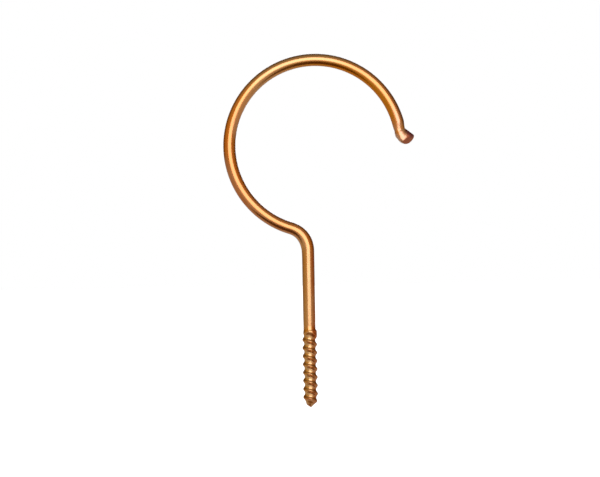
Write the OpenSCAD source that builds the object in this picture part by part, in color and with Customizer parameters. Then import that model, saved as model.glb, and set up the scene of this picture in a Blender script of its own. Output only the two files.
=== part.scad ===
// Cup hook: one length of plated wire, bent to an open ring and rolled to a wood thread at its foot.
// The ring lies in the XZ plane with its mouth towards +X.
// The shank stands on the Z axis, and the origin is where the thread begins.

/* [Wire] */
// Diameter of the wire
wire_d = 4; // [3:0.1:5]

/* [Shank] */
// Plain shank between the thread and the neck
shank_l = 25.5; // [10:0.1:40]

/* [Neck] */
// Radius of the neck bend, at the middle of the wire
neck_r = 8; // [5:0.5:14]

/* [Ring] */
// Radius of the ring, at the middle of the wire
ring_r = 28.1; // [18:0.1:40]
// Distance of the ring's centre from the shank's axis, towards the mouth
ring_offset = 3; // [-4:0.5:12]
// Angle above the level at which the round of the ring ends
ring_end = 15.5; // [0:0.5:45]

/* [Lip] */
// Straight stretch between the ring and the bend of the lip
lip_run = 4.7; // [2:0.1:10]
// Turn of the lip, away from the ring
lip_turn = 37; // [15:1:60]
// Radius of the bend of the lip, at the middle of the wire
lip_bend_r = 1.3; // [0.8:0.1:3]
// Reach of the lip past its bend
lip_l = 3.2; // [2:0.1:5]
// How far the spread end of the wire stands proud, all round
lip_swell = 0.36; // [0.1:0.02:0.6]
// How far the spread end reaches back over the bend
lip_lap = 1.1; // [0.5:0.1:1.5]
// How much larger the radius of the rounding over the end is than the spread end's own
nose_extra = 0.34; // [0.1:0.02:1]
// How far that rounding lies off the lip's axis, towards the crook of the bend
nose_shift = 0.5; // [0:0.05:1]
// Length of the lip left on its axis by the slanting cut
cut_l = 2.7; // [1.5:0.1:4]
// Slant of the cut, turned to the front
cut_slant = 23; // [0:1:40]

/* [Thread] */
// Length of the thread, with its point
thread_l = 25.6; // [12:0.1:40]
// Length of the point
point_l = 2.9; // [1:0.1:6]
// Advance of the thread in one turn
pitch = 2.68; // [1.6:0.02:4]
// How far the ridge stands proud of the wire
ridge_rise = 0.42; // [0.1:0.02:0.8]
// How far the groove is sunk in the wire
groove_depth = 0.14; // [0.05:0.01:0.4]
// Narrowness of the ridge, from 1 for a wave to 4 for a fin
ridge_power = 2; // [1:0.1:4]
// Length over which the thread starts, from the mouth side round
run_out = 3.4; // [1:0.1:6]
// Length over which the first ridge rises to its height
shoulder_l = 0.6; // [0.3:0.1:3]
// Turns from the top of the thread to the first crest at the mouth side
first_crest = 0.84; // [0:0.02:1]
// Hand of the thread
thread_hand = "left"; // [left, right]

/* [Smoothness] */
// Sides of the thread's round
thread_sides = 28; // [16:4:36]
// Rows of facets in one turn of the thread
turn_rows = 10; // [6:1:12]

/* [Hidden] */
$fn = 96;
wire_r = wire_d / 2;
lip_r = wire_r + lip_swell;
nose_r = lip_r + nose_extra;

// The neck bend touches the shank below and the ring above, in line with each
neck_sweep = acos((ring_offset + neck_r) / (ring_r + neck_r));
ring_z = shank_l + (ring_r + neck_r) * sin(neck_sweep);

// The spread end lies flush with the outside of the bend
lip_x = lip_bend_r + wire_r - lip_r;

// A stretch that runs on inside its neighbour is thinner by a hair all round, and laps it a little
seam = wire_d / 400;
seam_lap = wire_d / 25;

// The threaded end runs up into the shank by this much, thinner there by the same amount
thread_root = wire_r / 10;
thread_rows = ceil(thread_l / pitch * turn_rows);
thread_turn = thread_hand == "left" ? 1 : -1;

// Share of the ridge's narrowness that its first stretch has
start_breadth = 0.15;

// A smooth rise from 0 to 1
function ease(u) = let (c = min(1, max(0, u))) c * c * (3 - 2 * c);

// A wave round the wire, 1 where its angle is 0 and 0 on the far side
function side_wave(angle) = 0.5 + 0.5 * cos(angle);

// Radii of groove and ridge at a depth below the top of the thread
function groove_radius(depth) = wire_r - groove_depth * ease(depth / run_out);
function ridge_radius(depth, angle) =
    let (start = side_wave(angle), begun = ease(depth / run_out))
    wire_r + ridge_rise * ease(depth / shoulder_l) * (start + (1 - start) * begun);

// 1 on the crest of the ridge, 0 in the bottom of the groove; the first crest is a broad one
function ridge_share(depth, angle) =
    let (
        turns = depth / pitch - first_crest,
        power = ridge_power * max(start_breadth, ease(depth / run_out))
    )
    pow(side_wave(360 * turns - thread_turn * angle), power);

// The point closes in a round taper
function point_share(depth) =
    let (u = max(0, 1 - (thread_l - depth) / point_l))
    1 - u * u;

function thread_radius(depth, angle) =
    let (groove = groove_radius(depth))
    point_share(depth) * (groove + (ridge_radius(depth, angle) - groove) * ridge_share(depth, angle));

function thread_point(row, side) =
    let (
        depth = row == 0 ? -thread_root : row / thread_rows * thread_l,
        angle = side / thread_sides * 360,
        radius = row == 0 ? wire_r - thread_root : thread_radius(depth, angle)
    )
    [radius * cos(angle), radius * sin(angle), -depth];

// The threaded end, closed by a flat inside the shank and by the tip of its point
module threaded_end() {
    top = thread_rows * thread_sides;
    tip = top + 1;
    corners = [for (row = [0:thread_rows - 1], side = [0:thread_sides - 1]) thread_point(row, side)];
    ends = [[0, 0, thread_root], [0, 0, -thread_l]];
    walls = [
        for (row = [0:thread_rows - 2], side = [0:thread_sides - 1])
            let (
                here = row * thread_sides + side,
                beside = row * thread_sides + (side + 1) % thread_sides,
                below = here + thread_sides,
                across = beside + thread_sides
            )
            each [[here, beside, across], [here, across, below]]
    ];
    caps = [
        for (side = [0:thread_sides - 1])
            let (
                beside = (side + 1) % thread_sides,
                last = (thread_rows - 1) * thread_sides
            )
            each [[top, beside, side], [tip, last + side, last + beside]]
    ];
    polyhedron(points = concat(corners, ends), faces = concat(walls, caps));
}

// Turns what is drawn flat, x across and y up, into the upright plane of the ring
module upright() {
    rotate([90, 0, 0]) children();
}

// A bend of the wire about the drawing's origin
module wire_bend(radius, from, sweep, thinner = 0) {
    rotate_extrude(start = from, angle = sweep)
        intersection() {
            translate([radius, 0]) circle(r = wire_r - thinner);
            translate([0, -wire_d]) square([radius + wire_d, 2 * wire_d]);
        }
}

// The reverse bend from the shank to the ring, let into both
module neck() {
    lap_angle = seam_lap / neck_r * 180 / PI;
    translate([-neck_r, shank_l, 0]) wire_bend(neck_r, -lap_angle, neck_sweep + 2 * lap_angle, seam);
}

module ring() {
    translate([ring_offset, ring_z, 0]) wire_bend(ring_r, ring_end, 180 + neck_sweep - ring_end);
}

// The spread end of the wire, rounded over and cut on the slant
module nose() {
    reach = lip_l + lip_r;
    difference() {
        intersection() {
            translate([lip_x, -lip_lap, 0]) rotate([-90, 0, 0]) cylinder(h = lip_lap + reach, r = lip_r);
            translate([lip_x - nose_shift, lip_l - nose_r, 0]) sphere(r = nose_r);
        }
        translate([0, cut_l, 0]) rotate([cut_slant, 0, 0])
            translate([-reach, 0, -reach]) cube(2 * reach);
    }
}

// The free end of the wire: straight on from the ring, then turned outwards
module lip() {
    translate([ring_offset, ring_z, 0]) rotate(ring_end) translate([ring_r, 0, 0]) {
        translate([0, seam_lap, 0]) rotate([90, 0, 0]) cylinder(h = seam_lap + lip_run, r = wire_r - seam);
        translate([lip_bend_r, -lip_run, 0]) {
            wire_bend(lip_bend_r, 180, lip_turn, seam);
            rotate(180 + lip_turn) nose();
        }
    }
}

module hook() {
    color("#b8752a") {
        threaded_end();
        cylinder(h = shank_l, d = wire_d);
        upright() {
            neck();
            ring();
            lip();
        }
    }
}

hook();
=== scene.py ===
import math

import bmesh
import bpy
from mathutils import Matrix, Vector


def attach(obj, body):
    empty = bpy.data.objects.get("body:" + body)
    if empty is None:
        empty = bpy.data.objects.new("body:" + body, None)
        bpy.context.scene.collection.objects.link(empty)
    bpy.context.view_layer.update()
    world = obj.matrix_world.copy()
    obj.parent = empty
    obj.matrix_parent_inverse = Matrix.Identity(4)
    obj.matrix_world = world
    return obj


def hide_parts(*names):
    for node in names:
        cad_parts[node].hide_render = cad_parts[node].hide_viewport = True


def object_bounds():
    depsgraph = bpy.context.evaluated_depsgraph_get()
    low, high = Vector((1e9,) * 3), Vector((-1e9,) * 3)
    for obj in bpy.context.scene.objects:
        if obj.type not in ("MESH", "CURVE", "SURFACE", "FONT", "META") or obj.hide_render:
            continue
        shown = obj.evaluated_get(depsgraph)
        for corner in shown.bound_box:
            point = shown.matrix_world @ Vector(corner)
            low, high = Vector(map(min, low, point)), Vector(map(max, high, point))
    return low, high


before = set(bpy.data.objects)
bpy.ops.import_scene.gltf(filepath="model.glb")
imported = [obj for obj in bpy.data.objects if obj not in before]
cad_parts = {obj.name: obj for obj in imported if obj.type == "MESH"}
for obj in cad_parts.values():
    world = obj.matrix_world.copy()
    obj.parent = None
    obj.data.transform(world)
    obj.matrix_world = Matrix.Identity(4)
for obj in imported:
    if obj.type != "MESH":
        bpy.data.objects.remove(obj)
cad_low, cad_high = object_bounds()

# The cup hook is one length of plated wire. It is modelled as it is made: the foot is rolled to a thread,
# the shank rises from it, the neck and the ring are bent, and the free end is turned out and sheared.
# The ring lies in the XZ plane with its mouth towards +X, and the photo looks along +Y.

MM = 0.001
HAIR = 0.001 * MM


def outward_at(angle):
    """Away from the ring's centre, at an angle over the level."""
    return Vector((math.cos(angle), 0, math.sin(angle)))


def ahead_at(angle):
    """On towards the free end, square to that."""
    return Vector((math.sin(angle), 0, -math.cos(angle)))


# Wire and bends, as in the part's own sizes
WIRE_R = 2.0 * MM
SHANK_L = 25.5 * MM
NECK_R = 8.0 * MM
RING_R = 28.1 * MM
RING_OFFSET = 3.0 * MM
RING_END = math.radians(15.5)
NECK_SWEEP = math.acos((RING_OFFSET + NECK_R) / (RING_R + NECK_R))
RING_Z = SHANK_L + (RING_R + NECK_R) * math.sin(NECK_SWEEP)
RING_SWEEP = math.pi + NECK_SWEEP - RING_END
NECK_CENTRE = Vector((-NECK_R, 0, SHANK_L))
RING_CENTRE = Vector((RING_OFFSET, 0, RING_Z))
NECK_END = SHANK_L + NECK_R * NECK_SWEEP
ANGLE_SLACK = 0.01

# Fullness of the neck, where along its bend it lies, and how far from the bend the wire is looked for
NECK_INNER_FILL = 0.16 * MM
NECK_OUTER_FILL = 0.12 * MM
NECK_INNER_AT = math.radians(18)
NECK_OUTER_AT = math.radians(35)
NECK_FILL_SPAN = math.radians(38)
NECK_REACH = 1.5 * WIRE_R

# Thread. The first crest, its rise and the leads over an even screw line are in turns
THREAD_L = 25.6 * MM
POINT_L = 2.9 * MM
PITCH = 2.68 * MM
RIDGE_RISE = 0.42 * MM
GROOVE_DEPTH = 0.14 * MM
RIDGE_POWER = 1.4
FRONT_THIN = 1.2
RUN_OUT = 3.4 * MM
SHOULDER_L = 0.5 * MM
START_BREADTH = 0.12
FIRST_CREST = 0.88
FIRST_RISE = 0.3
FRONT_LEAD = 0.17
START_LEAD = 0.3
FAR_LEAD = 0.09

# Free end: a straight run past the ring, a crease that the wire is folded about, and the lip past it
LIP_RUN = 4.7 * MM
LIP_TURN = math.radians(37)
LIP_BEND_R = 1.3 * MM
RUN_OUTWARD = outward_at(RING_END)
RUN_AHEAD = ahead_at(RING_END)
LIP_OUTWARD = outward_at(RING_END + LIP_TURN)
LIP_AHEAD = ahead_at(RING_END + LIP_TURN)
RUN_START = RING_CENTRE + RING_R * RUN_OUTWARD
LIP_BEND = RUN_START + LIP_RUN * RUN_AHEAD + LIP_BEND_R * RUN_OUTWARD
CREASE_RUN = 2.8 * MM
CREASE_OUT = 1.7 * MM
CREASE_GAP = 0.08 * MM
CREASE_BREADTH = WIRE_R + CREASE_OUT - CREASE_GAP
CREASE_PIVOT = RUN_START + CREASE_RUN * RUN_AHEAD + CREASE_OUT * RUN_OUTWARD

# Outline of the lip, along its own line from the bend's centre and to either side of it
LIP_START = (CREASE_PIVOT - LIP_BEND).dot(LIP_AHEAD)
UPPER_EDGE = (CREASE_PIVOT - LIP_BEND).dot(LIP_OUTWARD) - CREASE_GAP
LOWER_EDGE = 3.18 * MM
LOWER_RISE = 0.31 * MM
NOSE_FROM = 0.3 * MM
NOSE_R = 2.85 * MM
NOSE_DROP = LOWER_EDGE - NOSE_R
CORNER_FROM = 2.2 * MM

# Sag of the free end's front
RUN_SLUMP = 0.5 * MM
LIP_SLUMP = 0.5 * MM
SLUMP_OVER = 1.5 * MM

# Plane of the shears, slanting to the front and tipped a little down
CUT_L = 2.55 * MM
CUT_SLANT = math.radians(33)
CUT_LIFT = math.radians(-5)
CUT_AHEAD = math.cos(CUT_LIFT) * LIP_AHEAD + math.sin(CUT_LIFT) * LIP_OUTWARD
CUT_NORMAL = math.cos(CUT_SLANT) * CUT_AHEAD + math.sin(CUT_SLANT) * Vector((0, -1, 0))
CUT_POINT = LIP_BEND + CUT_L * LIP_AHEAD
CUT_RIM = 0.35 * MM

# Marks on the free end, the sheared face with painted shade before it and a heat tint with painted shade
# along the crease, and the lengths over which they fade
SHEARED_BELOW = 0.1 * MM
SHEARED_FADE = 0.25 * MM
# A face in front of the cut, on the front side only, that takes painted shade
FACE_FROM = 0.1 * MM
FACE_LEAN = 0.6
FACE_FADE = 0.5 * MM
FACE_LOW = 1.3 * MM
FACE_LOW_FADE = 0.6 * MM
# Heat tint with painted shade along the crease side of the lip
STAIN_AND_SHADE_DEEP = 2.6 * MM
STAIN_AND_SHADE_FADE = 0.6 * MM

# Fineness of the mesh, and rounds of smoothing
WIRE_SIDES = 96
THREAD_BANDS = 16
BAND_ROWS = 15
SHANK_ROWS = 20
NECK_STEPS = 48
RING_STEPS = 260
RUN_ROWS = 6
CREASE_STEPS = 12
SPREAD_ROWS = 8
NOSE_ROWS = 18
SMOOTH_SHARE = 0.5
RIM_SMOOTHINGS = 6
CROOK_SMOOTHINGS = 20


def ease(share):
    """A smooth rise from 0 to 1."""
    held = min(1.0, max(0.0, share))
    return held * held * (3 - 2 * held)


def side_wave(angle):
    """A wave round the wire, 1 where the angle is 0 and 0 on the far side."""
    return 0.5 + 0.5 * math.cos(angle)


def select_vertices(wire, wanted):
    """Selects the vertices whose place passes the test, and the edges between them."""
    bpy.ops.mesh.select_mode(type="VERT")
    bpy.ops.mesh.select_all(action="DESELECT")
    mesh = bmesh.from_edit_mesh(wire.data)
    for vertex in mesh.verts:
        vertex.select_set(wanted(vertex.co))
    mesh.select_flush_mode()
    bmesh.update_edit_mesh(wire.data)


def select_upright_edges(wire):
    """Selects the edges that run up and down the wire's foot."""
    bpy.ops.mesh.select_mode(type="EDGE")
    bpy.ops.mesh.select_all(action="DESELECT")
    mesh = bmesh.from_edit_mesh(wire.data)
    for edge in mesh.edges:
        lower, upper = edge.verts
        edge.select_set(abs(lower.co.z - upper.co.z) > HAIR)
    mesh.select_flush_mode()
    bmesh.update_edit_mesh(wire.data)


def extrude_by(step):
    bpy.ops.mesh.extrude_region_move(TRANSFORM_OT_translate={"value": step})


def resize_by(scale, pivot):
    bpy.ops.transform.resize(value=(scale, scale, scale), center_override=pivot)


def start_wire():
    """The round of the wire where the thread begins."""
    bpy.ops.object.select_all(action="DESELECT")
    bpy.ops.mesh.primitive_circle_add(vertices=WIRE_SIDES, radius=WIRE_R, location=(0, 0, 0))
    wire = bpy.context.object
    wire.name = "hook_wire"
    wire.data.name = "hook_wire"
    bpy.ops.object.mode_set(mode="EDIT")
    bpy.ops.mesh.select_all(action="SELECT")
    return wire


def groove_radius(depth):
    return WIRE_R - GROOVE_DEPTH * ease(depth / RUN_OUT)


def ridge_radius(depth, angle):
    start = side_wave(angle)
    begun = ease(depth / RUN_OUT)
    return WIRE_R + RIDGE_RISE * ease(depth / SHOULDER_L) * (start + (1 - start) * begun)


def ridge_share(depth, angle):
    """1 on the crest of the ridge, 0 in the bottom of the groove."""
    front = max(0.0, -math.sin(angle)) ** 2
    start = side_wave(angle)
    begun = ease(depth / RUN_OUT)
    lead = (FRONT_LEAD + START_LEAD * (1 - begun)) * front + FAR_LEAD * (1 - start) ** 2
    turns = depth / PITCH - FIRST_CREST + lead
    power = RIDGE_POWER * (1 + FRONT_THIN * front) * max(START_BREADTH, begun)
    share = side_wave(math.tau * turns - angle) ** power
    to_first = turns - angle / math.tau
    if -FIRST_CREST < to_first < 0:
        share = max(share, start * ease((to_first + FIRST_CREST) / FIRST_RISE))
    return share


def point_share(depth):
    """How much of the wire's thickness is left in the taper of the point."""
    gone = max(0.0, 1 - (THREAD_L - depth) / POINT_L)
    return 1 - gone * gone


def thread_radius(depth, angle):
    groove = groove_radius(depth)
    ridge = ridge_radius(depth, angle)
    return point_share(depth) * (groove + (ridge - groove) * ridge_share(depth, angle))


def roll_thread(wire):
    """Draws the foot down in fine rows and rolls the thread into it."""
    extrude_by((0, 0, -THREAD_L))
    for parts in (THREAD_BANDS, BAND_ROWS):
        select_upright_edges(wire)
        bpy.ops.mesh.subdivide(number_cuts=parts - 1)
    mesh = bmesh.from_edit_mesh(wire.data)
    for vertex in mesh.verts:
        if vertex.co.z < -HAIR:
            angle = math.atan2(vertex.co.y, vertex.co.x)
            radius = max(0.0, thread_radius(-vertex.co.z, angle))
            vertex.co.x = radius * math.cos(angle)
            vertex.co.y = radius * math.sin(angle)
    bmesh.update_edit_mesh(wire.data)


def raise_shank(wire):
    select_vertices(wire, lambda place: place.z > -HAIR)
    for row in range(SHANK_ROWS):
        extrude_by((0, 0, SHANK_L / SHANK_ROWS))


def bend_neck_and_ring():
    """Two opposite bends. With no window a spin turns left-handed about its axis."""
    bpy.ops.mesh.spin(steps=NECK_STEPS, angle=NECK_SWEEP, center=NECK_CENTRE, axis=(0, 1, 0))
    bpy.ops.mesh.spin(steps=RING_STEPS, angle=RING_SWEEP, center=RING_CENTRE, axis=(0, -1, 0))


def fill_neck(wire):
    """The bend has pushed the wire a little fuller, inside and out."""
    mesh = bmesh.from_edit_mesh(wire.data)
    for vertex in mesh.verts:
        from_neck = vertex.co - NECK_CENTRE
        reach = math.hypot(from_neck.x, from_neck.z)
        angle = math.atan2(from_neck.z, from_neck.x)
        if abs(reach - NECK_R) < NECK_REACH and vertex.co.z > 0 and abs(angle) < math.pi / 2:
            outward = (reach - NECK_R) / WIRE_R
            fill, fullest_at = NECK_INNER_FILL, NECK_INNER_AT
            if outward > 0:
                fill, fullest_at = NECK_OUTER_FILL, NECK_OUTER_AT
            fuller = fill * outward * ease(1 - abs(angle - fullest_at) / NECK_FILL_SPAN)
            vertex.co.x += fuller * math.cos(angle)
            vertex.co.z += fuller * math.sin(angle)
    bmesh.update_edit_mesh(wire.data)


def run_to_crease():
    """The straight run, which narrows towards the crease and keeps its inner side."""
    breadth = 2 * WIRE_R
    for row in range(RUN_ROWS):
        done = (row + 1) / RUN_ROWS
        next_breadth = 2 * WIRE_R + (CREASE_BREADTH - 2 * WIRE_R) * ease(done)
        inner_rim = RUN_START + done * CREASE_RUN * RUN_AHEAD - WIRE_R * RUN_OUTWARD
        extrude_by(CREASE_RUN / RUN_ROWS * RUN_AHEAD)
        resize_by(next_breadth / breadth, inner_rim)
        breadth = next_breadth


def fold_crease():
    """The crook: the wire turns about the crease and grows to the breadth of the lip."""
    breadth = CREASE_BREADTH
    lip_breadth = lip_row(LIP_START)[1]
    for step in range(CREASE_STEPS):
        done = (step + 1) / CREASE_STEPS
        next_breadth = CREASE_BREADTH + (lip_breadth - CREASE_BREADTH) * ease(done)
        crease_rim = CREASE_PIVOT - CREASE_GAP * outward_at(RING_END + done * LIP_TURN)
        turn = LIP_TURN / CREASE_STEPS
        extrude_by((0, 0, 0))
        bpy.ops.transform.rotate(value=turn, orient_axis="Y", center_override=CREASE_PIVOT)
        resize_by(next_breadth / breadth, crease_rim)
        breadth = next_breadth


def lip_lower(ahead):
    """Reach of the spread end towards the crook's far side, at a distance along the lip."""
    if ahead < NOSE_FROM:
        back = (NOSE_FROM - ahead) / (NOSE_FROM - LIP_START)
        return LOWER_EDGE - LOWER_RISE * back * back
    return NOSE_DROP + math.sqrt(max(0.0, NOSE_R**2 - (ahead - NOSE_FROM) ** 2))


def lip_upper(ahead):
    """Reach of the spread end on the side of the crease."""
    round_l = NOSE_FROM + NOSE_R - CORNER_FROM
    into = min(1.0, max(0.0, (ahead - CORNER_FROM) / round_l))
    return (UPPER_EDGE + NOSE_DROP) * math.sqrt(1 - into * into) - NOSE_DROP


def lip_row(ahead):
    """Middle and breadth of the lip's section at a distance along it."""
    upper = lip_upper(ahead)
    lower = lip_lower(ahead)
    middle = LIP_BEND + ahead * LIP_AHEAD - (lower - upper) / 2 * LIP_OUTWARD
    return middle, upper + lower


def spread_lip():
    """The spread end past the crook, closed in a round nose."""
    spread_l = NOSE_FROM - LIP_START
    quarter = math.pi / 2
    rows = [LIP_START + spread_l * (row + 1) / SPREAD_ROWS for row in range(SPREAD_ROWS)]
    rows += [NOSE_FROM + NOSE_R * math.sin(quarter * (row + 1) / NOSE_ROWS) for row in range(NOSE_ROWS)]
    middle, breadth = lip_row(LIP_START)
    for ahead in rows:
        next_middle, next_breadth = lip_row(ahead)
        next_breadth = max(next_breadth, HAIR)
        extrude_by(next_middle - middle)
        resize_by(next_breadth / breadth, next_middle)
        middle, breadth = next_middle, next_breadth
    bpy.ops.mesh.merge(type="CENTER")


def run_at(place):
    """Distance along the straight run past the ring."""
    return (place - RUN_START).dot(RUN_AHEAD)


def lip_at(place):
    """Distance along the lip from its bend's centre."""
    return (place - LIP_BEND).dot(LIP_AHEAD)


def is_free_end(place):
    return run_at(place) > 0 and place.x > RING_OFFSET


def is_lip(place):
    return run_at(place) > CREASE_RUN and place.x > RING_OFFSET


def is_crook_front(place):
    in_front = place.y < -WIRE_R / 4
    return is_free_end(place) and in_front and run_at(place) > CREASE_RUN / 2 and lip_at(place) < NOSE_FROM


def slump_end(wire):
    """Lets the front of the free end sag, so that its fullest stretch lies towards the crook's far side."""
    mesh = bmesh.from_edit_mesh(wire.data)
    for vertex in mesh.verts:
        if is_free_end(vertex.co):
            run = run_at(vertex.co)
            turned = ease((lip_at(vertex.co) - LIP_START) / SLUMP_OVER) if run > CREASE_RUN else 0
            outward = RUN_OUTWARD.lerp(LIP_OUTWARD, turned)
            fullness = max(0.0, -vertex.co.y / WIRE_R)
            slump = RUN_SLUMP * ease(run / CREASE_RUN) + LIP_SLUMP * turned
            vertex.co -= slump * fullness**2 * outward
    bmesh.update_edit_mesh(wire.data)
    select_vertices(wire, is_crook_front)
    bpy.ops.mesh.vertices_smooth(factor=SMOOTH_SHARE, repeat=CROOK_SMOOTHINGS)


def cut_height(place):
    """Height of a place over the plane of the shears."""
    return (place - CUT_POINT).dot(CUT_NORMAL)


def shear_end(wire):
    """Presses what stands over the plane of the shears flat on it, and softens the rim."""
    across = CUT_NORMAL.orthogonal().normalized()
    along = CUT_NORMAL.cross(across)
    axes = Matrix((across, along, CUT_NORMAL)).transposed()
    select_vertices(wire, lambda place: is_lip(place) and cut_height(place) > 0)
    bpy.ops.transform.resize(
        value=(1, 1, 0),
        orient_type="LOCAL",
        orient_matrix=axes,
        orient_matrix_type="LOCAL",
        constraint_axis=(False, False, True),
        center_override=CUT_POINT,
    )
    select_vertices(wire, lambda place: is_lip(place) and abs(cut_height(place)) < CUT_RIM)
    bpy.ops.mesh.vertices_smooth(factor=SMOOTH_SHARE, repeat=RIM_SMOOTHINGS)


def wire_place(place):
    """Where a point of the bent wire lay on the straight wire: across, towards the back, and along."""
    from_neck = place - NECK_CENTRE
    from_ring = place - RING_CENTRE
    neck_angle = math.atan2(from_neck.z, from_neck.x)
    ring_angle = math.atan2(from_ring.z, from_ring.x) % math.tau
    ring_start = math.pi + NECK_SWEEP
    if place.z <= SHANK_L:
        return Vector((place.x, place.y, place.z))
    if neck_angle <= NECK_SWEEP and place.x < NECK_R and from_ring.z < -RING_R / 2:
        reach = math.hypot(from_neck.x, from_neck.z)
        return Vector((reach - NECK_R, place.y, SHANK_L + NECK_R * neck_angle))
    if RING_END <= ring_angle <= ring_start + ANGLE_SLACK:
        reach = math.hypot(from_ring.x, from_ring.z)
        return Vector((RING_R - reach, place.y, NECK_END + RING_R * (ring_start - ring_angle)))
    inward = -(place - RUN_START).dot(RUN_OUTWARD)
    return Vector((inward, place.y, NECK_END + RING_R * RING_SWEEP + run_at(place)))


def groove_share(place):
    """1 on the floor of the thread's grooves."""
    angle = math.atan2(place.y, place.x)
    begun = ease(-place.z / RUN_OUT)
    return begun * (1 - ridge_share(-place.z, angle))


def sheared_end_and_shade_share(place):
    """1 on the sheared end, and in front of it on the front side, where its red-brown is laid as painted
    shade.
    """
    sheared = ease(1 + (cut_height(place) + SHEARED_BELOW) / SHEARED_FADE)
    if place.y >= 0:
        return sheared
    out = (place - LIP_BEND).dot(LIP_OUTWARD)
    past_face = lip_at(place) - FACE_FROM + FACE_LEAN * out
    front_shade = ease(past_face / FACE_FADE) * ease((FACE_LOW + out) / FACE_LOW_FADE)
    return max(front_shade, sheared)


def stain_and_shade_share(place):
    """1 in front of the lip, along its side towards the crease: a purple heat tint, darkened there as
    painted shade of the crease.
    """
    out = (place - LIP_BEND).dot(LIP_OUTWARD)
    past_crease = ease((lip_at(place) - LIP_START) / STAIN_AND_SHADE_FADE)
    in_front = ease(0.5 - place.y / WIRE_R)
    upper = ease(1 - (UPPER_EDGE - out) / STAIN_AND_SHADE_DEEP)
    return past_crease * in_front * upper


def mark_surface(wire):
    """Keeps, with each vertex, its place on the straight wire, the floor of the thread's grooves, and on the
    lip the sheared end with painted shade before it and the heat tint with painted shade along the crease.
    """
    mesh = wire.data
    mesh.attributes.new("straight", "FLOAT_VECTOR", "POINT")
    for name in ("groove", "sheared", "stain_and_shade"):
        mesh.attributes.new(name, "FLOAT", "POINT")
    straight = mesh.attributes["straight"]
    groove = mesh.attributes["groove"]
    sheared = mesh.attributes["sheared"]
    stain_and_shade = mesh.attributes["stain_and_shade"]
    for vertex in mesh.vertices:
        place = vertex.co
        straight.data[vertex.index].vector = wire_place(place)
        if place.z < 0:
            groove.data[vertex.index].value = groove_share(place)
        if is_lip(place):
            # Sheared end, with painted shade in front of it on the front
            sheared.data[vertex.index].value = sheared_end_and_shade_share(place)
            # Heat tint with painted shade along the crease
            stain_and_shade.data[vertex.index].value = stain_and_shade_share(place)


def make_hook_wire():
    wire = start_wire()
    roll_thread(wire)
    raise_shank(wire)
    bend_neck_and_ring()
    fill_neck(wire)
    run_to_crease()
    fold_crease()
    spread_lip()
    slump_end(wire)
    shear_end(wire)
    bpy.ops.mesh.select_all(action="SELECT")
    bpy.ops.mesh.remove_doubles(threshold=HAIR)
    bpy.ops.mesh.normals_make_consistent(inside=False)
    bpy.ops.object.mode_set(mode="OBJECT")
    bpy.ops.object.shade_smooth()
    mark_surface(wire)
    return wire


# Sockets of the colour mix, which share their names
MIX_SHARE = 0
MIX_FIRST = 6
MIX_SECOND = 7
MIX_RESULT = 2


def add_node(tree, kind, **settings):
    node = tree.nodes.new(kind)
    for name, value in settings.items():
        setattr(node, name, value)
    return node


def feed(tree, socket, value):
    """Links the socket to another node's, or sets it to a plain value."""
    if isinstance(value, bpy.types.NodeSocket):
        tree.links.new(value, socket)
    else:
        socket.default_value = value


def mix_colours(tree, share, first, second):
    node = add_node(tree, "ShaderNodeMix", data_type="RGBA")
    feed(tree, node.inputs[MIX_SHARE], share)
    feed(tree, node.inputs[MIX_FIRST], first)
    feed(tree, node.inputs[MIX_SECOND], second)
    return node.outputs[MIX_RESULT]


def fade(tree, value, span, start, end):
    """A smooth change from start to end while the value passes over the span."""
    node = add_node(tree, "ShaderNodeMapRange", interpolation_type="SMOOTHSTEP")
    low, high = span
    feed(tree, node.inputs["Value"], value)
    feed(tree, node.inputs["From Min"], low)
    feed(tree, node.inputs["From Max"], high)
    feed(tree, node.inputs["To Min"], start)
    feed(tree, node.inputs["To Max"], end)
    return node.outputs["Result"]


def join_values(tree, way, values):
    """Joins the values one after the other by an operation of the Math node."""
    joined = values[0]
    for value in values[1:]:
        node = add_node(tree, "ShaderNodeMath", operation=way)
        feed(tree, node.inputs[0], joined)
        feed(tree, node.inputs[1], value)
        joined = node.outputs["Value"]
    return joined


def product(tree, *values):
    return join_values(tree, "MULTIPLY", values)


def largest(tree, *values):
    return join_values(tree, "MAXIMUM", values)


def total(tree, *values):
    return join_values(tree, "ADD", values)


def add_noise(tree, place, pattern):
    node = add_node(tree, "ShaderNodeTexNoise")
    scale, detail, roughness = pattern
    feed(tree, node.inputs["Vector"], place)
    feed(tree, node.inputs["Scale"], scale)
    feed(tree, node.inputs["Detail"], detail)
    feed(tree, node.inputs["Roughness"], roughness)
    return node.outputs["Fac"]


def read_mark(tree, name, output="Fac"):
    return add_node(tree, "ShaderNodeAttribute", attribute_name=name).outputs[output]


# Colours of the plating, as drawn and as work has left them, and the painted highlights, painted shade and
# painted reflection laid on it
ORANGE = (0.84, 0.31, 0.042, 1)
GOLD = (0.82, 0.43, 0.135, 1)
# Red-brown; on the shank's and thread's right side it is painted shade
RED_BROWN = (0.70, 0.18, 0.042, 1)
# Painted highlight, pale, laid over the last stretch before the lip
END_HIGHLIGHT_PAINT = (0.86, 0.46, 0.23, 1)
# Painted reflection, amber, laid on the inside of the ring's last stretch
AMBER_REFLECTION = (0.87, 0.28, 0.012, 1)
# Painted shade, purple-brown, on the outside of the wire just before the lip
OUTER_SHADE_COLOUR = (0.36, 0.12, 0.09, 1)
# Painted highlight, pale cream, laid on the floors of the thread's grooves
GROOVE_HIGHLIGHT_PAINT = (0.92, 0.53, 0.19, 1)
# Red-brown of the sheared end, also laid in front of it on the front as painted shade
SHEARED_AND_SHADE_COLOUR = (0.58, 0.17, 0.08, 1)
# Purple heat tint with painted shade, along the lip's side towards the crease
STAIN_AND_SHADE_COLOUR = (0.22, 0.06, 0.07, 1)

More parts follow.
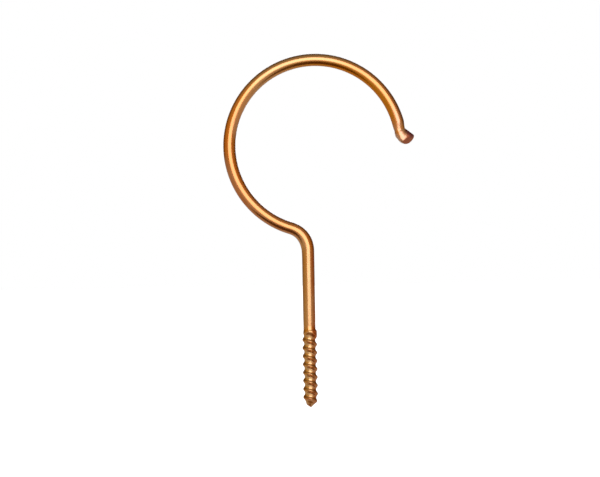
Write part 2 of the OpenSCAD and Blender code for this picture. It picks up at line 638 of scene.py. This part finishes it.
# Where a colour comes and goes along the straight wire, counted from the top of the thread
POINT_GOES = (-24 * MM, -20 * MM)
SHANK_GOES = (22 * MM, 36 * MM)
BENDS_COME = (28 * MM, 46 * MM)
BENDS_GO = (70 * MM, 90 * MM)
CROWN_COMES = (86 * MM, 100 * MM)
CROWN_GOES = (116 * MM, 130 * MM)
AMBER_COMES = (80 * MM, 125 * MM)
AMBER_GOES = (149 * MM, 157 * MM)
OUTER_SHADE_COMES = (137 * MM, 148 * MM)
OUTER_SHADE_GOES = (152 * MM, 154.5 * MM)
PALE_END_COMES = (144 * MM, 152 * MM)

# The same across the wire, from the shank's left to its right and from the ring's outside to its inside
BENDS_ACROSS = (-1.3 * MM, 0)
RIGHT_SHADE_ACROSS = (0.3 * MM, 1.6 * MM)
AMBER_ACROSS = (-0.1 * MM, 1 * MM)
OUTER_SHADE_ACROSS = (-1.5 * MM, -0.6 * MM)
GROOVE_HIGHLIGHT_ACROSS = (0.2 * MM, 1 * MM)
BARE_ACROSS = (-1.5 * MM, -0.3 * MM)

# Shares that a colour, or the bareness of the coat, reaches or keeps
GOLD_KEPT = 0.6
BENDS_REACHED = 0.65
BENDS_KEPT = 0.3
POINT_REACHED = 0.8
RED_KEPT = 0.55
END_HIGHLIGHT_REACHED = 0.75
AMBER_REACHED = 0.95
AMBER_KEPT = 0.2
OUTER_SHADE_REACHED = 0.75
GROOVE_HIGHLIGHT_REACHED = 0.7
SHEARED_AND_SHADE_REACHED = 0.9
STAIN_AND_SHADE_REACHED = 0.9
BARE_REACHED = 0.9

# Patterns in the plating, each with its scale, detail and roughness, and the values that are used of them
DRAW_LINES = (2200, 3, 0.6)
BLOTCHES = (150, 2, 0.5)
DRIFT = (42, 2, 0.5)
LINE_STRETCH = (1, 1, 0.012)
WHOLE = (0, 1)
DRIFT_HUE = (0.3, 0.6)
BLOTCH_HUE = (0.35, 0.65)
GROOVE_HIGHLIGHT_SPAN = (0.35, 1)
SHEARED_HUE = (0.2, 1)
STAIN_AND_SHADE_SPAN = (0.1, 0.95)
LINE_GLOSS = (0.3, 0.7)
BLOTCH_GLOSS = (0.4, 0.7)
GROOVE_GLOSS = (0.3, 1)

# Roughness between and on the draw lines, what is added to it, and the clear coat
LINE_ROUGH_LEAST = 0.21
LINE_ROUGH_MOST = 0.25
BLOTCH_ROUGHER = 0.05
SHEARED_ROUGHER = 0.18
GROOVE_ROUGHER = 0.02
END_ROUGHER = 0.11
BUMP_STRENGTH = 0.02
BUMP_DEPTH = 0.03 * MM
COAT_ROUGH = 0.15
COAT_IOR = 1.8


def golden_share(tree, along, shank, drift):
    """The shank and the ring's crown are more golden, in patches."""
    crown = product(tree, fade(tree, along, CROWN_COMES, 0, 1), fade(tree, along, CROWN_GOES, 1, 0))
    return product(tree, largest(tree, shank, crown), fade(tree, drift, DRIFT_HUE, 1, GOLD_KEPT))


def red_share(tree, along, across, shank, blotches):
    """Redder in blotches: the outside of the ring's first stretch, the shank's right side and the point. On
    the shank's right side the red-brown is painted shade.
    """
    bends = product(
        tree,
        fade(tree, along, BENDS_COME, 0, BENDS_REACHED),
        fade(tree, along, BENDS_GO, 1, 0),
        fade(tree, across, BENDS_ACROSS, 1, BENDS_KEPT),
    )
    right_shade = product(tree, shank, fade(tree, across, RIGHT_SHADE_ACROSS, 0, 1))
    point = fade(tree, along, POINT_GOES, POINT_REACHED, 0)
    return product(tree, largest(tree, bends, right_shade, point), fade(tree, blotches, BLOTCH_HUE, RED_KEPT, 1))


def amber_reflection_share(tree, along, across):
    """Painted reflection: amber on the inside of the ring's last stretch, where the ring reflects its own
    plating.
    """
    return product(
        tree,
        fade(tree, along, AMBER_COMES, 0, 1),
        fade(tree, along, AMBER_GOES, 1, AMBER_KEPT),
        fade(tree, across, AMBER_ACROSS, 0, AMBER_REACHED),
    )


def outer_shade_share(tree, along, across):
    """Painted shade: darker on the outside of the wire, just before the lip."""
    return product(
        tree,
        fade(tree, along, OUTER_SHADE_COMES, 0, OUTER_SHADE_REACHED),
        fade(tree, along, OUTER_SHADE_GOES, 1, 0),
        fade(tree, across, OUTER_SHADE_ACROSS, 1, 0),
    )


def plated_wire_finish():
    """Yellow plating on drawn wire: drifting hue and draw lines, painted highlights in the grooves and
    before the lip, painted shade on the right side, on the outside before the lip and along the crease, a
    painted reflection inside the ring, and a sheared, heat-tinted end.
    """
    finish = bpy.data.materials.new("plated wire")
    finish.use_nodes = True
    tree = finish.node_tree
    shader = tree.nodes["Principled BSDF"]
    straight = read_mark(tree, "straight", "Vector")
    groove = read_mark(tree, "groove")
    sheared = read_mark(tree, "sheared")
    stain_and_shade = read_mark(tree, "stain_and_shade")

    stretch = add_node(tree, "ShaderNodeMapping", vector_type="POINT")
    feed(tree, stretch.inputs["Scale"], LINE_STRETCH)
    feed(tree, stretch.inputs["Vector"], straight)
    draw_lines = add_noise(tree, stretch.outputs["Vector"], DRAW_LINES)
    blotches = add_noise(tree, straight, BLOTCHES)
    drift = add_noise(tree, straight, DRIFT)

    split = add_node(tree, "ShaderNodeSeparateXYZ")
    feed(tree, split.inputs["Vector"], straight)
    across = split.outputs["X"]
    along = split.outputs["Z"]
    shank = fade(tree, along, SHANK_GOES, 1, 0)
    pale_rough_end = fade(tree, along, PALE_END_COMES, 0, 1)
    golden = golden_share(tree, along, shank, drift)
    red = red_share(tree, along, across, shank, blotches)
    amber_reflection = amber_reflection_share(tree, along, across)
    outer_shade = outer_shade_share(tree, along, across)
    # Painted highlight on the groove floors, on the thread's left and middle
    groove_highlight = fade(tree, groove, GROOVE_HIGHLIGHT_SPAN, 0, GROOVE_HIGHLIGHT_REACHED)
    groove_highlight = product(tree, groove_highlight, fade(tree, across, GROOVE_HIGHLIGHT_ACROSS, 1, 0))

    tint = mix_colours(tree, golden, ORANGE, GOLD)
    tint = mix_colours(tree, red, tint, RED_BROWN)
    # Painted highlight: the last stretch before the lip is made paler; the same stretch is also made rougher
    tint = mix_colours(tree, product(tree, pale_rough_end, END_HIGHLIGHT_REACHED), tint, END_HIGHLIGHT_PAINT)
    tint = mix_colours(tree, amber_reflection, tint, AMBER_REFLECTION)
    tint = mix_colours(tree, outer_shade, tint, OUTER_SHADE_COLOUR)
    tint = mix_colours(tree, groove_highlight, tint, GROOVE_HIGHLIGHT_PAINT)
    # The sheared end, with painted shade in front of it on the front side
    tint = mix_colours(tree, fade(tree, sheared, SHEARED_HUE, 0, SHEARED_AND_SHADE_REACHED), tint, SHEARED_AND_SHADE_COLOUR)
    # Heat tint with painted shade along the lip's side towards the crease
    tint = mix_colours(tree, fade(tree, stain_and_shade, STAIN_AND_SHADE_SPAN, 0, STAIN_AND_SHADE_REACHED), tint, STAIN_AND_SHADE_COLOUR)
    feed(tree, shader.inputs["Base Color"], tint)

    rough = total(
        tree,
        fade(tree, draw_lines, LINE_GLOSS, LINE_ROUGH_LEAST, LINE_ROUGH_MOST),
        fade(tree, blotches, BLOTCH_GLOSS, 0, BLOTCH_ROUGHER),
        fade(tree, sheared, WHOLE, 0, SHEARED_ROUGHER),
        fade(tree, groove, GROOVE_GLOSS, 0, GROOVE_ROUGHER),
        product(tree, pale_rough_end, END_ROUGHER),
    )
    feed(tree, shader.inputs["Roughness"], rough)

    bump = add_node(tree, "ShaderNodeBump")
    feed(tree, bump.inputs["Strength"], BUMP_STRENGTH)
    feed(tree, bump.inputs["Distance"], BUMP_DEPTH)
    feed(tree, bump.inputs["Height"], total(tree, draw_lines, blotches))
    feed(tree, shader.inputs["Normal"], bump.outputs["Normal"])

    bare = product(tree, shank, fade(tree, across, BARE_ACROSS, BARE_REACHED, 0))
    # The coat is left off on the sheared end, the heat tint and painted shade, the painted reflection, the
    # redder places and the shank's bare side
    coat_left_off = largest(tree, sheared, stain_and_shade, amber_reflection, red, bare)
    feed(tree, shader.inputs["Metallic"], 1)
    feed(tree, shader.inputs["Coat Weight"], fade(tree, coat_left_off, WHOLE, 1, 0))
    feed(tree, shader.inputs["Coat Roughness"], COAT_ROUGH)
    feed(tree, shader.inputs["Coat IOR"], COAT_IOR)
    return finish


# Camera: straight on to the ring's plane, rolled as the photo is
FRAME_W = 196.2 * MM
LENS = 85
SENSOR_W = 36
CLIP_NEAR = 0.01
CLIP_FAR = 20
ROLL = math.radians(1.054)
AIM = Vector((-2.56 * MM, 0, 29.68 * MM))


def set_camera():
    view = bpy.data.cameras.new("camera")
    view.lens = LENS
    view.sensor_width = SENSOR_W
    view.clip_start = CLIP_NEAR
    view.clip_end = CLIP_FAR
    camera = bpy.data.objects.new("camera", view)
    bpy.context.collection.objects.link(camera)
    right = Vector((math.cos(ROLL), 0, -math.sin(ROLL)))
    up = Vector((math.sin(ROLL), 0, math.cos(ROLL)))
    back = Vector((0, -1, 0))
    axes = Matrix((right, up, back)).transposed().to_4x4()
    camera.matrix_world = Matrix.Translation(AIM + FRAME_W * LENS / SENSOR_W * back) @ axes
    bpy.context.scene.camera = camera


# Floor, which is a little darker near the hook than at a distance
FLOOR_Z = cad_low.z - 60 * MM
FLOOR_W = 6.0
FLOOR_PAINT = (0.56, 0.54, 0.50, 1)
FLOOR_NEAR_GLOW = 0.4
FLOOR_GLOW_GROWS = (0.15, 0.3)

# Soft boxes, a broad one in front and a small one behind
LAMP_FAR = 1.5
LAMP_RISE = math.radians(17)
LAMP_ASIDE = math.radians(6)
LAMP_W = 2 * LAMP_FAR * math.tan(math.radians(29))
LAMP_H = 2 * LAMP_FAR * math.tan(math.radians(25))
LAMP_RADIANCE = 1.68
LAMP_COLOUR = (0.97, 1.05, 1.32)
BACK_RISE = math.radians(12)
BACK_W = 0.6
BACK_RADIANCE = 1.6

# Flags, which only reflections show
HIGH_FLAG_EDGE = Vector((1.5 * MM, -8 * MM, 8 * MM))
HIGH_FLAG_W = 117 * MM
HIGH_FLAG_L = 0.5
HIGH_FLAG_SLOPE = math.radians(19)
HIGH_FLAG_CLOTH = (0.08, 0.045, 0.03, 1)
LOW_FLAG_EDGE = Vector((0, -5 * MM, cad_low.z - 15 * MM))
LOW_FLAG_W = 0.12
LOW_FLAG_L = 0.055
LOW_FLAG_CLOTH = (0.17, 0.085, 0.035, 1)

# Room, and the directions over which it changes
WHITE = (1, 1, 1, 1)
BLACK = (0, 0, 0, 1)
EVEN_LIGHT = (0.6, 0.6, 0.6, 1)
ROOM_LEFT = (0.53, 0.34, 0.06, 1)
ROOM_RIGHT = (0.40, 0.22, 0.035, 1)
ROOM_TOP = (0.30, 0.27, 0.20, 1)
LEFT_TO_RIGHT = (-0.6, 0.6)
SIDES_TO_TOP = (0.2, 1)
FRONT_TO_REAR = (-0.3, 0.3)
REAR_DARKER = 0.65
REAR_TO_BACKDROP = (0.96, 1)


def seen_directly(tree, path):
    """1 for rays from the camera, also through something clear."""
    return largest(tree, path.outputs["Is Camera Ray"], path.outputs["Is Transmission Ray"])


def set_world():
    """White to the camera, even light for the floor, and in reflections a dim room with a white backdrop."""
    world = bpy.data.worlds.new("studio")
    bpy.context.scene.world = world
    world.use_nodes = True
    tree = world.node_tree
    tree.nodes.clear()
    output = add_node(tree, "ShaderNodeOutputWorld")
    light = add_node(tree, "ShaderNodeBackground")
    towards = add_node(tree, "ShaderNodeTexCoord").outputs["Generated"]
    split = add_node(tree, "ShaderNodeSeparateXYZ")
    path = add_node(tree, "ShaderNodeLightPath")
    feed(tree, split.inputs["Vector"], towards)
    aside = split.outputs["X"]
    rearward = split.outputs["Y"]
    upward = split.outputs["Z"]
    room = mix_colours(tree, fade(tree, aside, LEFT_TO_RIGHT, 0, 1), ROOM_LEFT, ROOM_RIGHT)
    room = mix_colours(tree, fade(tree, upward, SIDES_TO_TOP, 0, 1), room, ROOM_TOP)
    room = mix_colours(tree, fade(tree, rearward, FRONT_TO_REAR, 0, REAR_DARKER), room, BLACK)
    room = mix_colours(tree, fade(tree, rearward, REAR_TO_BACKDROP, 0, 1), room, WHITE)
    colour = mix_colours(tree, path.outputs["Is Glossy Ray"], EVEN_LIGHT, room)
    colour = mix_colours(tree, seen_directly(tree, path), colour, WHITE)
    feed(tree, light.inputs["Color"], colour)
    feed(tree, output.inputs["Surface"], light.outputs["Background"])


def start_finish(name):
    """A studio material with an empty surface, and the socket of that surface."""
    finish = bpy.data.materials.new(name)
    finish.use_nodes = True
    tree = finish.node_tree
    tree.nodes.clear()
    output = add_node(tree, "ShaderNodeOutputMaterial")
    return finish, tree, output.inputs["Surface"]


def floor_finish():
    """Pale paint that takes the shadow, with a glow for the camera that grows to white at a distance."""
    finish, tree, surface = start_finish("pale floor")
    both = add_node(tree, "ShaderNodeAddShader")
    paint = add_node(tree, "ShaderNodeBsdfDiffuse")
    glow = add_node(tree, "ShaderNodeEmission")
    place = add_node(tree, "ShaderNodeTexCoord").outputs["Object"]
    distance = add_node(tree, "ShaderNodeVectorMath", operation="LENGTH")
    path = add_node(tree, "ShaderNodeLightPath")
    feed(tree, distance.inputs[0], place)
    strength = fade(tree, distance.outputs["Value"], FLOOR_GLOW_GROWS, FLOOR_NEAR_GLOW, 1)
    feed(tree, paint.inputs["Color"], FLOOR_PAINT)
    feed(tree, glow.inputs["Strength"], product(tree, seen_directly(tree, path), strength))
    feed(tree, both.inputs[0], paint.outputs["BSDF"])
    feed(tree, both.inputs[1], glow.outputs["Emission"])
    feed(tree, surface, both.outputs["Shader"])
    return finish


def flag_finish(name, cloth):
    """Dark cloth above, and not there when seen from below."""
    finish, tree, surface = start_finish(name)
    glow = add_node(tree, "ShaderNodeEmission")
    clear = add_node(tree, "ShaderNodeBsdfTransparent")
    either = add_node(tree, "ShaderNodeMixShader")
    from_below = add_node(tree, "ShaderNodeNewGeometry").outputs["Backfacing"]
    feed(tree, glow.inputs["Color"], cloth)
    feed(tree, either.inputs["Fac"], from_below)
    feed(tree, either.inputs[1], glow.outputs["Emission"])
    feed(tree, either.inputs[2], clear.outputs["BSDF"])
    feed(tree, surface, either.outputs["Shader"])
    return finish


def add_flat(name, edge, width, length, slope, finish):
    """A sheet of the studio that runs to the front from the middle of its back edge, sloping down."""
    bpy.ops.object.select_all(action="DESELECT")
    bpy.ops.mesh.primitive_plane_add(size=1, location=(0, 0, 0))
    flat = bpy.context.object
    flat.name = name
    bpy.ops.object.mode_set(mode="EDIT")
    bpy.ops.mesh.select_all(action="SELECT")
    bpy.ops.transform.resize(value=(width, length, 1), center_override=(0, 0, 0))
    bpy.ops.transform.translate(value=(0, -length / 2, 0))
    bpy.ops.transform.rotate(value=-slope, orient_axis="X", center_override=(0, 0, 0))
    bpy.ops.transform.translate(value=edge)
    bpy.ops.object.mode_set(mode="OBJECT")
    flat.data.materials.append(finish)
    return flat


def add_lamp(name, aside, rise, width, height, radiance):
    """A soft box that faces the hook, its direction counted from straight in front."""
    level = math.cos(rise)
    towards = Vector((math.sin(aside) * level, -math.cos(aside) * level, math.sin(rise)))
    light = bpy.data.lights.new(name, "AREA")
    light.shape = "RECTANGLE"
    light.size = width
    light.size_y = height
    light.energy = math.pi * width * height * radiance
    light.color = LAMP_COLOUR
    lamp = bpy.data.objects.new(name, light)
    bpy.context.collection.objects.link(lamp)
    middle = (cad_low + cad_high) / 2
    lamp.location = middle + LAMP_FAR * towards
    lamp.rotation_mode = "QUATERNION"
    lamp.rotation_quaternion = towards.to_track_quat("Z", "Y")
    lamp.visible_camera = False


def set_studio():
    set_world()
    add_flat("floor", Vector((0, FLOOR_W / 2, FLOOR_Z)), FLOOR_W, FLOOR_W, 0, floor_finish())
    dark = flag_finish("dark flag", HIGH_FLAG_CLOTH)
    brown = flag_finish("brown flag", LOW_FLAG_CLOTH)
    high_flag = add_flat("high_flag", HIGH_FLAG_EDGE, HIGH_FLAG_W, HIGH_FLAG_L, HIGH_FLAG_SLOPE, dark)
    low_flag = add_flat("low_flag", LOW_FLAG_EDGE, LOW_FLAG_W, LOW_FLAG_L, 0, brown)
    for flag in (high_flag, low_flag):
        flag.visible_camera = False
        flag.visible_shadow = False
        flag.visible_diffuse = False
    add_lamp("soft_box", LAMP_ASIDE, LAMP_RISE, LAMP_W, LAMP_H, LAMP_RADIANCE)
    add_lamp("back_box", math.pi, BACK_RISE, BACK_W, BACK_W, BACK_RADIANCE)
    bpy.context.scene.view_settings.view_transform = "Standard"


hook_wire = make_hook_wire()
hook_wire.data.materials.append(plated_wire_finish())
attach(hook_wire, "root")
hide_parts("hook")

set_studio()
set_camera()
